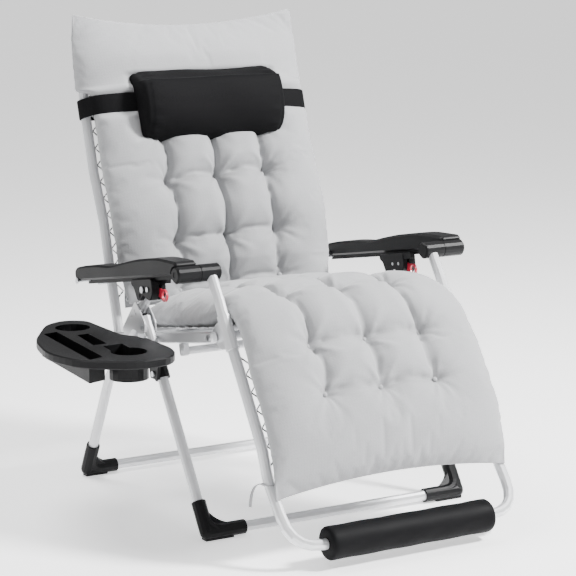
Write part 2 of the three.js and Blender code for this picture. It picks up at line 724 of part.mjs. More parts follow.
function upright(centre, fromZ, toZ, radius, sides = 18) {
  return rod(
    new THREE.Vector3(centre.x, centre.y, fromZ),
    new THREE.Vector3(centre.x, centre.y, toZ),
    radius,
    sides,
  );
}

function tray() {
  const wall = 4;
  const edge = [
    [-395, 292], [-446, 322], [-506, 292], [-598, 142], [-632, 0], [-606, -112], [-500, -190],
    [-404, -184], [-362, -112], [-362, 52], [-395, 92],
  ];
  const inset = edge.map(([x, y]) => {
    const middle = [-490, 60];
    const shrinkX = 1 - 2 * wall / 270;
    const shrinkY = 1 - 2 * wall / 510;
    return [middle[0] + (x - middle[0]) * shrinkX, middle[1] + (y - middle[1]) * shrinkY];
  });
  const bottomZ = TRAY_TOP_Z - TRAY_DEPTH;
  const slab = flatPlate(outline(edge, 46), TRAY_TOP_Z, TRAY_DEPTH, 3);
  const hollow = flatPlate(outline(inset, 44), TRAY_TOP_Z - wall, TRAY_DEPTH);
  const legNotch = upright(new THREE.Vector2(-LEG_X, 49), bottomZ - 5, TRAY_TOP_Z + 5, 31);
  const cups = [FRONT_CUP, REAR_CUP];
  const cupBottomZ = TRAY_TOP_Z - CUP_DEPTH;
  const cupWalls = cups.map((centre) => upright(centre, cupBottomZ, TRAY_TOP_Z - 1, CUP_RADIUS + 3));
  const cupRooms = cups.map((centre) => upright(centre, cupBottomZ + 3, TRAY_TOP_Z + 5, CUP_RADIUS));
  const phone = outline([[-461, 144], [-490, 142], [-506, 18], [-471, 22]], 3);
  const tablet = outline([[-516, 200], [-553, 193], [-579, -118], [-541, -104]], 3);
  const tabletPocket = outline([[-512, 204], [-557, 196], [-583, -122], [-537, -107]], 3);
  const phonePocket = outline([[-457, 148], [-493, 146], [-510, 14], [-467, 18]], 3);
  const mugHandle = outline([[-442, 2], [-492, -2], [-499, -70], [-449, -70]], 4);
  const mugHandlePocket = outline([[-438, 6], [-495, 2], [-503, -70], [-445, -70]], 4);
  const pockets = [[tablet, tabletPocket, 52], [phone, phonePocket, 34], [mugHandle, mugHandlePocket, 34]];
  const pocketWalls = pockets.map(([, outer, depth]) => flatPlate(outer, TRAY_TOP_Z - 1, depth));
  const pocketRooms = pockets.map(([inner, , depth]) => flatPlate(inner, TRAY_TOP_Z + 5, depth + 3));
  let body = solid(slab).subtract(solid(hollow));
  for (const piece of [...cupWalls, ...pocketWalls]) {
    body = body.add(solid(piece));
  }
  for (const piece of [...cupRooms, ...pocketRooms, legNotch]) {
    body = body.subtract(solid(piece));
  }
  add('tray', geometryOf(body), BLACK_PLASTIC);

  const ringAt = SEAT_PIVOT.clone().addScaledVector(FRONT_LEG_DIR, 88);
  const ringFrom = at(-LEG_X, ringAt.clone().addScaledVector(FRONT_LEG_DIR, -14));
  const ringTo = at(-LEG_X, ringAt.clone().addScaledVector(FRONT_LEG_DIR, 14));
  const legBore = rod(
    at(-LEG_X, FRONT_LEG_TOP),
    at(-LEG_X, ringAt.clone().addScaledVector(FRONT_LEG_DIR, 80)),
    boreRadius(TUBE_RADIUS) + GAP,
  );
  const post = plate(
    outline([
      [ringAt.x - 16, ringAt.y - 12],
      [ringAt.x + 16, ringAt.y - 12],
      [ringAt.x + 34, bottomZ - GAP],
      [ringAt.x - 30, bottomZ - GAP],
    ], 2),
    -LEG_X - 20,
    -LEG_X - 12,
  );
  const shelf = new THREE.BoxGeometry(46, 60, 5);
  shelf.translate(-LEG_X - 20 - 15, ringAt.x, bottomZ - GAP - 2.5);
  add(
    'tray_clamp',
    shaped([rod(ringFrom, ringTo, TUBE_RADIUS + 6), post, shelf], [legBore]),
    BLACK_PLASTIC,
  );
  add('tray_screw', crossRod(ringAt, -LEG_X - 20 - GAP, -LEG_X - 24, 7, 12), BRIGHT_STEEL);
}

// Fabric and padding.
// A side-view outline that follows a line: each row is [y, z, near offset, far offset].
function strip(rows) {
  const line = rows.map(([y, z]) => new THREE.Vector2(y, z));
  const side = (column) => line.map((point, index) => {
    const before = line[Math.max(index - 1, 0)];
    const after = line[Math.min(index + 1, line.length - 1)];
    const run = after.clone().sub(before).normalize();
    return point.clone().add(new THREE.Vector2(-run.y, run.x).multiplyScalar(rows[index][column]));
  });
  return new THREE.Shape([...side(2), ...side(3).reverse()]);
}

const SLING_HALF_WIDTH = 262;
const SLING_HALF_THICKNESS = 2;
const LACE_RADIUS = 2.2;
const LACE_STEP = 21;

const BACK_SLING_LINE = [[352, 432], [358, 514], [392, 642], [444, 760], [481, 890], [512, 1050]];
const LEG_SLING_LINE = [[-262, 444], [-308, 380], [-394, 250], [-416, 190]];

function evenOffsets(line, near, far) {
  return line.map(([y, z]) => [y, z, near, far]);
}

// Elastic cord, zigzag between the sling's edge and the tube.
function lace(line, sign) {
  const curve = new THREE.CurvePath();
  for (let index = 1; index < line.length; index += 1) {
    curve.add(new THREE.LineCurve(
      new THREE.Vector2(...line[index - 1]),
      new THREE.Vector2(...line[index]),
    ));
  }
  const count = Math.floor(curve.getLength() / LACE_STEP);
  const slingSide = SLING_HALF_WIDTH + LACE_RADIUS + GAP;
  const tubeSide = TUBE_X - TUBE_RADIUS - LACE_RADIUS - GAP;
  const stations = [];
  for (let index = 1; index < count; index += 1) {
    const place = curve.getPointAt(index / count);
    const x = index % 2 === 0 ? slingSide : tubeSide;
    stations.push(new THREE.Vector3(sign * x, place.x, place.y));
  }
  return sweep(stations, roundSection(LACE_RADIUS, 6));
}

function softParts() {
  const slingRows = evenOffsets(BACK_SLING_LINE, -SLING_HALF_THICKNESS, SLING_HALF_THICKNESS);
  add('back_sling', plate(strip(slingRows), -SLING_HALF_WIDTH, SLING_HALF_WIDTH), GREY_FABRIC);
  const backRows = [
    [330, 470, 16, 76],
    [350, 514, 16, 88],
    [384, 642, 16, 88],
    [436, 760, 16, 88],
    [473, 890, 16, 86],
    [496, 1000, 16, 70],
    [514, 1090, 16, 44],
  ];
  add('back_cushion', plate(strip(backRows), -298, 298, 6), GREY_FABRIC);

  const onRail = (along, off) => offLine(HIP, RAIL_DIR, RAIL_UP, along, off);
  const seatSling = new THREE.Shape([
    onRail(60, 18),
    onRail(490, 18),
    onRail(490, 22),
    onRail(60, 22),
  ]);
  add('seat_sling', plate(seatSling, -280, 280), GREY_FABRIC);
  const seatCushion = new THREE.Shape([
    onRail(70, 24),
    onRail(484, 24),
    new THREE.Vector2(-198, 548),
    new THREE.Vector2(-120, 538),
    new THREE.Vector2(0, 512),
    new THREE.Vector2(212, 478),
  ]);
  add('seat_cushion', plate(seatCushion, -284, 284, 6), GREY_FABRIC);

  const legSlingRows = evenOffsets(LEG_SLING_LINE, -SLING_HALF_THICKNESS, SLING_HALF_THICKNESS);
  add('leg_sling', plate(strip(legSlingRows), -SLING_HALF_WIDTH, SLING_HALF_WIDTH), GREY_FABRIC);
  const legRows = [
    [-236, 493, -19, -66],
    [-308, 384, -19, -68],
    [-396, 250, -19, -62],
    [-424, 158, -19, -46],
  ];
  add('leg_cushion', plate(strip(legRows), -294, 294, 6), GREY_FABRIC);
  const pillowRows = [[456, 828, 90, 170], [497, 988, 90, 170]];
  add('headrest_pillow', plate(strip(pillowRows), -204, 204, 8), BLACK_FABRIC);

  for (const { name, sign } of SIDES) {
    add(`back_lace_${name}`, lace(BACK_SLING_LINE, sign), BLACK_FABRIC);
    add(`leg_lace_${name}`, lace(LEG_SLING_LINE, sign), BLACK_FABRIC);
  }
}

legFrames();
boots();
gussets();
seatFrame();
backFrame();
footFrame();
arms();
clamps();
tray();
softParts();

// The origin is under the middle of the chair's box, on the floor.
const box = new THREE.Box3().setFromObject(chair);
const middle = box.getCenter(new THREE.Vector3());
chair.position.set(-middle.x, -middle.y, -box.min.z);
const group = new THREE.Group();
group.add(chair);

export default group;
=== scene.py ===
import json
import math

import bpy
import numpy as np
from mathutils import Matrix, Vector


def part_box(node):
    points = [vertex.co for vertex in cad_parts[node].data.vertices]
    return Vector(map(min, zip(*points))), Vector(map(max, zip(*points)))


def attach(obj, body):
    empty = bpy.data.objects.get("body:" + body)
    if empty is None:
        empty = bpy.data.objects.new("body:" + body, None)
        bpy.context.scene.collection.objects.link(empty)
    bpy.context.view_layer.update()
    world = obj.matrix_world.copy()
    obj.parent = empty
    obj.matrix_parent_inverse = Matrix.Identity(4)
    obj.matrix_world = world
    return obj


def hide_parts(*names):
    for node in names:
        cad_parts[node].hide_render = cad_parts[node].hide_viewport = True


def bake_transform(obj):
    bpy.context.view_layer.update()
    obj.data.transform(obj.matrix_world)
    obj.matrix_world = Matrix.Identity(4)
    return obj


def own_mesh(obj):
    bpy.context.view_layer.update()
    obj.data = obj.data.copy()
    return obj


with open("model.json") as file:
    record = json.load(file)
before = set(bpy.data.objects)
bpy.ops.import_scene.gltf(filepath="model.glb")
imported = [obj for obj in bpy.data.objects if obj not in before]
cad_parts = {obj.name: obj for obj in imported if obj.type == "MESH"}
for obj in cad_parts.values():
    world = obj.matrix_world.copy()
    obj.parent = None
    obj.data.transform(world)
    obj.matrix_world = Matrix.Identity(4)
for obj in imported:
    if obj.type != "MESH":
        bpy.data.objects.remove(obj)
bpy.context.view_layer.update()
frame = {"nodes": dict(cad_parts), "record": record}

# Places are written in the chair's own coordinates, in metres: x from the middle of the chair,
# y from front to back, z from the floor. place() turns them into the frame's coordinates.
rear_low, rear_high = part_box("rear_leg_frame")
roll_low, roll_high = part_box("foot_roll")
MID_X = (rear_low.x + rear_high.x) / 2
ROLL_CENTRE = (-0.528, 0.053)
MID_Y = (roll_low.y + roll_high.y) / 2 - ROLL_CENTRE[0]
ORIGIN = np.array([MID_X, MID_Y, 0.0])

TUBE_X = 0.300
TUBE_RADIUS = 0.0125
SIDES = {"right": -1, "left": 1}


def place(x, y, z):
    return Vector((x + MID_X, y + MID_Y, z))


# ---------------------------------------------------------------- materials

def socket(node, name, value):
    node.inputs[name].default_value = value


class Shader:
    """A material with one Principled shader, and short calls for what feeds it."""

    def __init__(self, name, color, roughness, metallic=0.0):
        self.material = bpy.data.materials.new(name)
        self.material.use_nodes = True
        self.tree = self.material.node_tree
        self.surface = self.tree.nodes["Principled BSDF"]
        socket(self.surface, "Base Color", (*color, 1))
        socket(self.surface, "Roughness", roughness)
        socket(self.surface, "Metallic", metallic)
        self.color = color
        self.height = None

    def node(self, kind, **sockets):
        made = self.tree.nodes.new(kind)
        for name, value in sockets.items():
            socket(made, name.replace("_", " "), value)
        return made

    def link(self, source, target):
        self.tree.links.new(source, target)

    def place_from(self, kind):
        coordinates = self.node("ShaderNodeTexCoord")
        return coordinates.outputs[kind]

    def noise(self, place, scale, detail=2.0):
        texture = self.node("ShaderNodeTexNoise", Scale=scale, Detail=detail)
        self.link(place, texture.inputs["Vector"])
        return texture.outputs["Fac"]

    def waves(self, place, scale, direction, distortion=0.0):
        texture = self.node("ShaderNodeTexWave", Scale=scale, Distortion=distortion)
        texture.bands_direction = direction
        self.link(place, texture.inputs["Vector"])
        return texture.outputs["Fac"]

    def math(self, operation, first, second):
        made = self.node("ShaderNodeMath")
        made.operation = operation
        for index, value in enumerate((first, second)):
            if isinstance(value, (int, float)):
                made.inputs[index].default_value = value
            else:
                self.link(value, made.inputs[index])
        return made.outputs[0]

    def bump(self, height, strength, distance):
        made = self.node("ShaderNodeBump", Strength=strength, Distance=distance)
        self.link(height, made.inputs["Height"])
        if self.height is not None:
            self.link(self.height, made.inputs["Normal"])
        self.height = made.outputs["Normal"]
        self.link(self.height, self.surface.inputs["Normal"])

    def spread(self, factor, low, high):
        """factor, from 0 to 1, as a number from low to high."""
        made = self.node("ShaderNodeMapRange")
        socket(made, "To Min", low)
        socket(made, "To Max", high)
        self.link(factor, made.inputs["Value"])
        return made.outputs["Result"]

    def vary_color(self, factor, darker, lighter):
        mix = self.tree.nodes.new("ShaderNodeMix")
        mix.data_type = "RGBA"
        mix.inputs[6].default_value = (*[c * darker for c in self.color], 1)
        mix.inputs[7].default_value = (*[min(c * lighter, 1) for c in self.color], 1)
        self.link(factor, mix.inputs[0])
        self.link(mix.outputs[2], self.surface.inputs["Base Color"])


def white_paint():
    shader = Shader("white_powder_coat", (0.72, 0.725, 0.74), 0.3, 0.45)
    socket(shader.surface, "Coat Weight", 0.25)
    socket(shader.surface, "Coat Roughness", 0.2)
    where = shader.place_from("Object")
    patches = shader.noise(where, 7, 4)
    shader.vary_color(patches, 0.95, 1.03)
    shader.link(shader.spread(patches, 0.24, 0.36), shader.surface.inputs["Roughness"])
    shader.bump(shader.noise(where, 900, 2), 0.08, 0.0003)
    return shader.material


def zinc():
    shader = Shader("zinc_plated_steel", (0.62, 0.63, 0.65), 0.3, 1.0)
    where = shader.place_from("Object")
    stains = shader.noise(where, 160, 5)
    shader.vary_color(stains, 0.82, 1.08)
    shader.link(shader.spread(stains, 0.2, 0.42), shader.surface.inputs["Roughness"])
    shader.bump(shader.waves(where, 900, "Z", 3.0), 0.06, 0.0002)
    return shader.material


def black_plastic():
    shader = Shader("black_grained_plastic", (0.0065, 0.0065, 0.007), 0.42)
    socket(shader.surface, "Specular IOR Level", 0.14)
    where = shader.place_from("Object")
    pebbles = shader.node("ShaderNodeTexVoronoi", Scale=1100)
    shader.link(where, pebbles.inputs["Vector"])
    patches = shader.noise(where, 9, 4)
    shader.vary_color(patches, 0.8, 1.35)
    shader.link(shader.spread(patches, 0.34, 0.5), shader.surface.inputs["Roughness"])
    shader.bump(pebbles.outputs["Distance"], 0.22, 0.0004)
    return shader.material


def red_plastic():
    shader = Shader("red_moulded_plastic", (0.60, 0.028, 0.06), 0.3)
    where = shader.place_from("Object")
    patches = shader.noise(where, 60, 3)
    shader.vary_color(patches, 0.88, 1.1)
    shader.link(shader.spread(patches, 0.22, 0.38), shader.surface.inputs["Roughness"])
    shader.bump(shader.noise(where, 700, 2), 0.08, 0.0002)
    return shader.material


def woven(name, color, roughness, thread, sheen, nap, specular):
    """A plain weave with thread metres between threads, under a soft nap."""
    shader = Shader(name, color, roughness)
    socket(shader.surface, "Sheen Weight", sheen)
    socket(shader.surface, "Sheen Roughness", 0.45)
    socket(shader.surface, "Specular IOR Level", specular)
    where = shader.place_from("UV")
    turns = 1 / thread / 20
    warp = shader.waves(where, turns, "X", 0.6)
    weft = shader.waves(where, turns, "Y", 0.6)
    weave = shader.math("MAXIMUM", warp, weft)
    cloud = shader.noise(shader.place_from("Object"), 16, 5)
    fuzz = shader.noise(shader.place_from("Object"), 620, 3)
    grain = shader.noise(shader.place_from("Object"), 260, 2)
    tone = shader.math("ADD", shader.math("MULTIPLY", cloud, 0.4), shader.math("MULTIPLY", grain, 0.6))
    shader.vary_color(tone, 0.86, 1.12)
    shader.link(shader.spread(fuzz, roughness - 0.07, roughness + 0.06), shader.surface.inputs["Roughness"])
    shader.bump(fuzz, nap, 0.0012)
    shader.bump(weave, 0.25, 0.0004)
    return shader.material


def foam():
    shader = Shader("black_closed_cell_foam", (0.0045, 0.0045, 0.005), 0.7)
    where = shader.place_from("Object")
    socket(shader.surface, "Specular IOR Level", 0.07)
    cells = shader.node("ShaderNodeTexVoronoi", Scale=520)
    shader.link(where, cells.inputs["Vector"])
    patches = shader.noise(where, 22, 4)
    shader.vary_color(patches, 0.75, 1.5)
    shader.link(shader.spread(patches, 0.5, 0.68), shader.surface.inputs["Roughness"])
    shader.bump(cells.outputs["Distance"], 0.3, 0.0008)
    shader.bump(patches, 0.2, 0.002)
    return shader.material


def braid():
    """Elastic cord: a black braid with a light tracer thread."""
    shader = Shader("braided_elastic_cord", (0.03, 0.03, 0.034), 0.6)
    where = shader.place_from("Object")
    plait = shader.waves(where, 42, "DIAGONAL", 0.4)
    tracer = shader.math("GREATER_THAN", plait, 0.72)
    mix = shader.tree.nodes.new("ShaderNodeMix")
    mix.data_type = "RGBA"
    mix.inputs[6].default_value = (0.03, 0.03, 0.034, 1)
    mix.inputs[7].default_value = (0.72, 0.72, 0.72, 1)
    shader.link(tracer, mix.inputs[0])
    shader.link(mix.outputs[2], shader.surface.inputs["Base Color"])
    shader.link(shader.spread(plait, 0.5, 0.7), shader.surface.inputs["Roughness"])
    shader.bump(plait, 0.4, 0.0006)
    return shader.material


GREY = (0.335, 0.338, 0.346)
MATERIALS = {
    "white_tube": white_paint(),
    "bolt": zinc(),
    "black_plastic": black_plastic(),
    "red_plastic": red_plastic(),
    "grey_fabric": woven("light_grey_peach_cloth", GREY, 0.86, 0.0011, 0.3, 0.3, 0.2),
    "black_fabric": woven("black_woven_cloth", (0.0045, 0.0045, 0.005), 0.72, 0.0016, 0.0, 0.3, 0.06),
    "lace": braid(),
    "black_foam": foam(),
}


def repaint(node, material):
    data = frame["nodes"][node].data
    data.materials.clear()
    data.materials.append(material)


for part in frame["record"]["subparts"]:
    repaint(part["node"], MATERIALS[part["material_slot"]])


# ---------------------------------------------------------------- curves and meshes

def smooth_rows(rows, count=900):
    """Rows of numbers as a smooth curve whose first two columns are y and z, and its running length."""
    rows = np.array(rows, float)
    chord = np.r_[0, np.cumsum(np.linalg.norm(np.diff(rows[:, :2], axis=0), axis=1))]
    slope = np.gradient(rows, chord, axis=0)
    along = np.linspace(0, chord[-1], count)
    index = np.clip(np.searchsorted(chord, along) - 1, 0, len(rows) - 2)
    gap = (chord[index + 1] - chord[index])[:, None]
    t = (along - chord[index])[:, None] / gap
    curve = (
        (2 * t**3 - 3 * t**2 + 1) * rows[index]
        + (t**3 - 2 * t**2 + t) * gap * slope[index]
        + (3 * t**2 - 2 * t**3) * rows[index + 1]
        + (t**3 - t**2) * gap * slope[index + 1]
    )
    for column in range(2, rows.shape[1]):
        curve[:, column] = np.interp(along, chord, rows[:, column])
    run = np.r_[0, np.cumsum(np.linalg.norm(np.diff(curve[:, :2], axis=0), axis=1))]
    return run, curve


class Line:
    """A side-view line through rows of [y, z, more columns], which can be read at any distance along it."""

    def __init__(self, rows):
        self.run, self.curve = smooth_rows(rows)
        self.length = self.run[-1]
        tangent = np.gradient(self.curve[:, :2], self.run, axis=0)
        tangent /= np.linalg.norm(tangent, axis=1)[:, None]
        self.normal = np.stack([-tangent[:, 1], tangent[:, 0]], axis=1)

    def at(self, distance, column):
        return np.interp(distance, self.run, self.curve[:, column])

    def point(self, distance, offset=0.0):
        """(y, z) at a distance along, moved offset towards the sitter."""
        across = [np.interp(distance, self.run, self.normal[:, k]) for k in (0, 1)]
        return self.at(distance, 0) + across[0] * offset, self.at(distance, 1) + across[1] * offset

    def nearest(self, y, z):
        return self.run[np.argmin((self.curve[:, 0] - y) ** 2 + (self.curve[:, 1] - z) ** 2)]


def superellipse(half_width, height, power, count):
    """Evenly spaced points of a superellipse's upper half: shares of half_width, and of height."""
    angle = np.linspace(math.pi, 0, 4001)
    across = np.sign(np.cos(angle)) * np.abs(np.cos(angle)) ** (2 / power)
    up = np.abs(np.sin(angle)) ** (2 / power)
    steps = np.hypot(np.diff(across * half_width), np.diff(up * height))
    run = np.r_[0, np.cumsum(steps)]
    even = np.linspace(0, run[-1], count)
    return np.interp(even, run, across), np.interp(even, run, up)


def build(name, vertices, faces, material, uvs=None, smooth=True):
    """A mesh object from chair coordinates, with one uv per vertex where they are given."""
    data = bpy.data.meshes.new(name)
    moved = np.asarray(vertices, float).reshape(-1, 3) + ORIGIN
    data.from_pydata(moved.tolist(), [], [list(map(int, face)) for face in faces])
    if uvs is not None:
        layer = data.uv_layers.new(name="UVMap")
        corners = np.empty(len(data.loops), int)
        data.loops.foreach_get("vertex_index", corners)
        layer.data.foreach_set("uv", np.asarray(uvs, np.float32)[corners].ravel())
    data.polygons.foreach_set("use_smooth", [smooth] * len(data.polygons))
    data.materials.append(material)
    data.update()
    made = bpy.data.objects.new(name, data)
    bpy.context.scene.collection.objects.link(made)
    return made


def grid_faces(rows, columns, start=0, wrap=False):
    faces = []
    for i in range(rows - 1):
        for j in range(columns if wrap else columns - 1):
            a = start + i * columns + j
            b = start + i * columns + (j + 1) % columns
            faces.append((a, b, b + columns, a + columns))
    return faces


def refine(grid):
    """A grid of points with a new row and column between each two, on a smooth curve."""
    for axis in (0, 1):
        grid = np.moveaxis(grid, axis, 0)
        padded = np.concatenate([2 * grid[:1] - grid[1:2], grid, 2 * grid[-1:] - grid[-2:-1]])
        middle = (9 * (grid[:-1] + grid[1:]) - padded[:-3] - padded[3:]) / 16
        finer = np.empty((2 * len(grid) - 1, *grid.shape[1:]))
        finer[0::2] = grid
        finer[1::2] = middle
        grid = np.moveaxis(finer, 0, axis)
    return grid


# ---------------------------------------------------------------- padded cloth

def falloff(distance, reach, power=2.2):
    return np.clip(1 - distance / reach, 0, 1) ** power


def lobe_gap(distance, reach):
    """A sharp valley between two rounded lobes: 1 at its bottom, 0 from reach on."""
    left = np.clip(1 - distance / reach, 0, 1)
    return 1 - (1 - left**2) ** 0.62


class Tufts:
    """Rows of buttons sewn through a pad, with the creases that run between them."""

    def __init__(self, columns, rows, pit, valley, ends, skew=0.0):
        self.columns = columns
        self.rows = rows
        self.pit = pit
        self.valley = valley
        self.ends = ends
        self.skew = skew

    def spots(self):
        return [(x, s + self.skew * x) for s in self.rows for x in self.columns]

    def nearness(self, x, s, reach, power=2.2):
        found = np.zeros_like(x)
        for spot_x, spot_s in self.spots():
            found = np.maximum(found, falloff(np.hypot(x - spot_x, s - spot_s), reach, power))
        return found

    def creases(self, x, s):
        """How strongly each point lies in a crease, from 0 to 1."""
        s = s - self.skew * x
        first, last = self.ends
        fade = np.clip((s - first) / 0.05, 0, 1) * np.clip((last - s) / 0.05, 0, 1)
        deepest = np.zeros_like(x)
        between = self.bulge(s, self.rows)
        for column in self.columns:
            bow = 0.010 * np.sign(column) * between
            deepest = np.maximum(deepest, lobe_gap(np.abs(x - column + bow), 0.056) * fade)
        reach = np.clip((self.columns[-1] + 0.045 - np.abs(x)) / 0.05, 0, 1)
        for row in self.rows:
            arch = 0.008 * self.bulge(x, self.columns)
            deepest = np.maximum(deepest, 0.9 * lobe_gap(np.abs(s - row - arch), 0.056) * reach)
        return deepest * (0.66 + 0.34 * self.nearness(x, s + self.skew * x, 0.09, 1.0))

    @staticmethod
    def bulge(value, stops):
        """0 at each stop and 1 half way between two."""
        stops = np.array(sorted(stops))
        index = np.clip(np.searchsorted(stops, value) - 1, 0, len(stops) - 2)
        t = np.clip((value - stops[index]) / (stops[index + 1] - stops[index]), 0, 1)
        return np.sin(np.pi * t)

    def sink(self, x, s):
        """Share of the pad's thickness that the stitching pulls away."""
        pits = 0.6 * self.nearness(x, s, 0.078, 2.0) + 0.4 * self.nearness(x, s, 0.026, 1.4)
        return self.valley * self.creases(x, s) + (self.pit - self.valley) * pits


class Pad:
    """A closed cushion on a side-view line: a front sheet and a back sheet that meet in a seam.

    The line's columns are y, z, back offset, front offset, half-width, and how far through the
    thickness the seam lies."""

    STEP = 0.0085
    EDGE_SHARE = 0.62
    CLOTH_FRAMES = 20
    BUTTON_PROFILE = (
        (0.0001, 0.0052), (0.0035, 0.0047), (0.0060, 0.0030), (0.0068, 0.0004), (0.0060, -0.0025),
    )
    BUTTON_SIDES = 14
    BUTTON_MARGIN = 0.004

    def __init__(self, name, rows, tufts, end_power, bows, press=None, droop=None):
        self.name = name
        self.line = Line(rows)
        self.tufts = tufts(self.line)
        self.press = press
        self.droop = droop
        thick = float(np.max(self.line.curve[:, 3] - self.line.curve[:, 2]))
        wide = float(np.max(self.line.curve[:, 4]))
        columns = int(2 * wide / self.STEP) + 8
        lines = int(self.line.length / self.STEP) + 6
        across, rise = superellipse(wide, thick * self.EDGE_SHARE, 2.4, columns)
        run, lift = superellipse(self.line.length / 2, thick * self.EDGE_SHARE, end_power, lines)
        distance = (run + 1) / 2 * self.line.length
        self.s, share = np.meshgrid(distance, across, indexing="ij")
        self.x = share * self.line.at(self.s, 4)
        self.full = np.outer(lift, rise)
        rise_at_start, drop_at_end = bows
        early = np.clip(1 - self.s / 0.16, 0, 1) ** 1.5
        late = np.clip(1 - (self.line.length - self.s) / 0.30, 0, 1) ** 1.5
        self.s = self.s + (rise_at_start * early - drop_at_end * late) * (1 - share**2)
        self.front = self.sheet(front=True)
        self.back = self.sheet(front=False)

    def sheet(self, front):
        low, high = self.line.at(self.s, 2), self.line.at(self.s, 3)
        if self.press:
            high = high - self.press(self.line, self.x, self.s)
        middle = low + self.line.at(self.s, 5) * (high - low)
        if front:
            pulled = self.tufts.sink(self.x, self.s) * (high - low)
            offset = middle + (high - middle - pulled) * self.full
        else:
            offset = middle - (middle - low) * np.minimum(self.full * 1.6, 1)
        if self.droop:
            offset = offset - self.droop(self.line, self.x, self.s)
        y, z = self.line.point(self.s, offset)
        return np.stack([self.x, y, z], axis=-1)

    def faces(self):
        """Faces over the front grid's points, followed by the back grid's inner points."""
        rows, columns = self.x.shape
        number = np.arange(rows * columns).reshape(rows, columns)
        back = number.copy()
        back[1:-1, 1:-1] = rows * columns + np.arange((rows - 2) * (columns - 2)).reshape(rows - 2, -1)
        faces = []
        for i in range(rows - 1):
            for j in range(columns - 1):
                faces.append((number[i, j], number[i, j + 1], number[i + 1, j + 1], number[i + 1, j]))
                faces.append((back[i, j], back[i + 1, j], back[i + 1, j + 1], back[i, j + 1]))
        return faces

    def puff(self, pressure=4.0, cap=0.024, share=0.48):
        """Inflates the pad as cloth, held at its back, seam and buttons, and takes on a share of that."""
        points = np.concatenate([self.front.reshape(-1, 3), self.back[1:-1, 1:-1].reshape(-1, 3)])
        cloth_object = build(self.name + "_cloth", points, self.faces(), MATERIALS["grey_fabric"])
        rows, columns = self.x.shape
        held = cloth_object.vertex_groups.new(name="held")
        hold = self.tufts.nearness(self.x, self.s, 0.020, 0.5)
        hold[[0, -1]], hold[:, [0, -1]] = 1, 1
        for index in np.flatnonzero(hold.ravel() > 0.25):
            held.add([int(index)], 1.0, "REPLACE")
        first_back = rows * columns
        inner = self.full[1:-1, 1:-1].ravel()
        for index in np.flatnonzero(inner > 0.6):
            held.add([int(first_back + index)], 1.0, "REPLACE")
        modifier = cloth_object.modifiers.new("Cloth", "CLOTH")
        settings = modifier.settings
        settings.quality = 4
        settings.mass = 0.25
        settings.tension_stiffness = 12
        settings.compression_stiffness = 8
        settings.shear_stiffness = 4
        settings.bending_stiffness = 0.4
        settings.use_pressure = True
        settings.uniform_pressure_force = pressure
        settings.vertex_group_mass = "held"
        settings.shrink_min = -0.03
        settings.effector_weights.gravity = 0
        modifier.collision_settings.use_collision = False
        modifier.point_cache.frame_start = 1
        modifier.point_cache.frame_end = self.CLOTH_FRAMES
        scene = bpy.context.scene
        for number in range(1, self.CLOTH_FRAMES + 1):
            scene.frame_set(number)
        graph = bpy.context.evaluated_depsgraph_get()
        evaluated = cloth_object.evaluated_get(graph)
        moved = np.empty(len(points) * 3)
        evaluated.data.vertices.foreach_get("co", moved)
        moved = moved.reshape(-1, 3) - ORIGIN
        scene.frame_set(1)
        bpy.data.objects.remove(cloth_object)
        shift = moved - points
        size = np.linalg.norm(shift, axis=1, keepdims=True)
        shift *= np.minimum(1, cap / np.maximum(size, 1e-9))
        front_shift = shift[:first_back].reshape(rows, columns, 3)
        keep = share * (1 - 0.75 * self.tufts.creases(self.x, self.s))
        if self.press:
            keep = keep * (1 - np.clip(self.press(self.line, self.x, self.s) / 0.008, 0, 1))
        front_shift = front_shift * keep[..., None]
        self.front = self.front + front_shift
        inner_shift = shift[first_back:].reshape(rows - 2, columns - 2, 3)
        self.back[1:-1, 1:-1] += share * inner_shift
        self.back[0], self.back[-1] = self.front[0], self.front[-1]
        self.back[:, 0], self.back[:, -1] = self.front[:, 0], self.front[:, -1]

    def detail(self):
        """A finer grid, with small folds round the buttons, and the back sheet's edge kept on the front
        sheet's seam.
        """
        marks = np.stack([self.x, self.s, self.full], axis=-1)
        stacked = np.concatenate([self.front, self.back, marks], axis=-1)
        finer = refine(stacked)
        self.front, self.back = finer[..., 0:3], finer[..., 3:6]
        self.x, self.s, self.full = finer[..., 6], finer[..., 7], finer[..., 8]
        run, normals = self.line.run, self.line.normal
        normal = np.stack([np.interp(self.s, run, normals[:, k]) for k in (0, 1)], axis=-1)
        bump = np.zeros_like(self.x)
        for number, (x, s) in enumerate(self.tufts.spots()):
            dx, ds = self.x - x, self.s - s
            distance = np.hypot(dx, ds)
            turn = np.arctan2(ds, dx)
            rays = np.cos(8 * turn + number * 1.7) + 0.5 * np.cos(13 * turn + number)
            ring = np.clip(distance / 0.014, 0, 1) * falloff(distance, 0.100, 1.5)
            bump += 0.0024 * rays * ring
        line = self.tufts.creases(self.x, self.s)
        bump -= 0.0026 * np.clip((line - 0.70) / 0.30, 0, 1)
        slow_x = np.sin(self.x * 31 + 1.3 * np.sin(self.s * 23))
        slow_s = np.sin(self.s * 27 + 1.1 * np.sin(self.x * 19))
        slow = slow_x * slow_s
        bump += 0.0012 * slow * np.clip(self.full, 0, 1)
        self.front[..., 1:] += normal * bump[..., None]
        self.back[0], self.back[-1] = self.front[0], self.front[-1]
        self.back[:, 0], self.back[:, -1] = self.front[:, 0], self.front[:, -1]

    def front_profile(self, distance):
        """x, and the offset from the line, across the front sheet at a distance along."""
        row = np.argmin(np.abs(self.s[:, self.s.shape[1] // 2] - distance))
        y, z = self.line.point(self.s[row], 0.0)
        ahead_y, ahead_z = self.line.point(self.s[row], 1.0)
        across = self.front[row]
        return across[:, 0], (across[:, 1] - y) * (ahead_y - y) + (across[:, 2] - z) * (ahead_z - z)

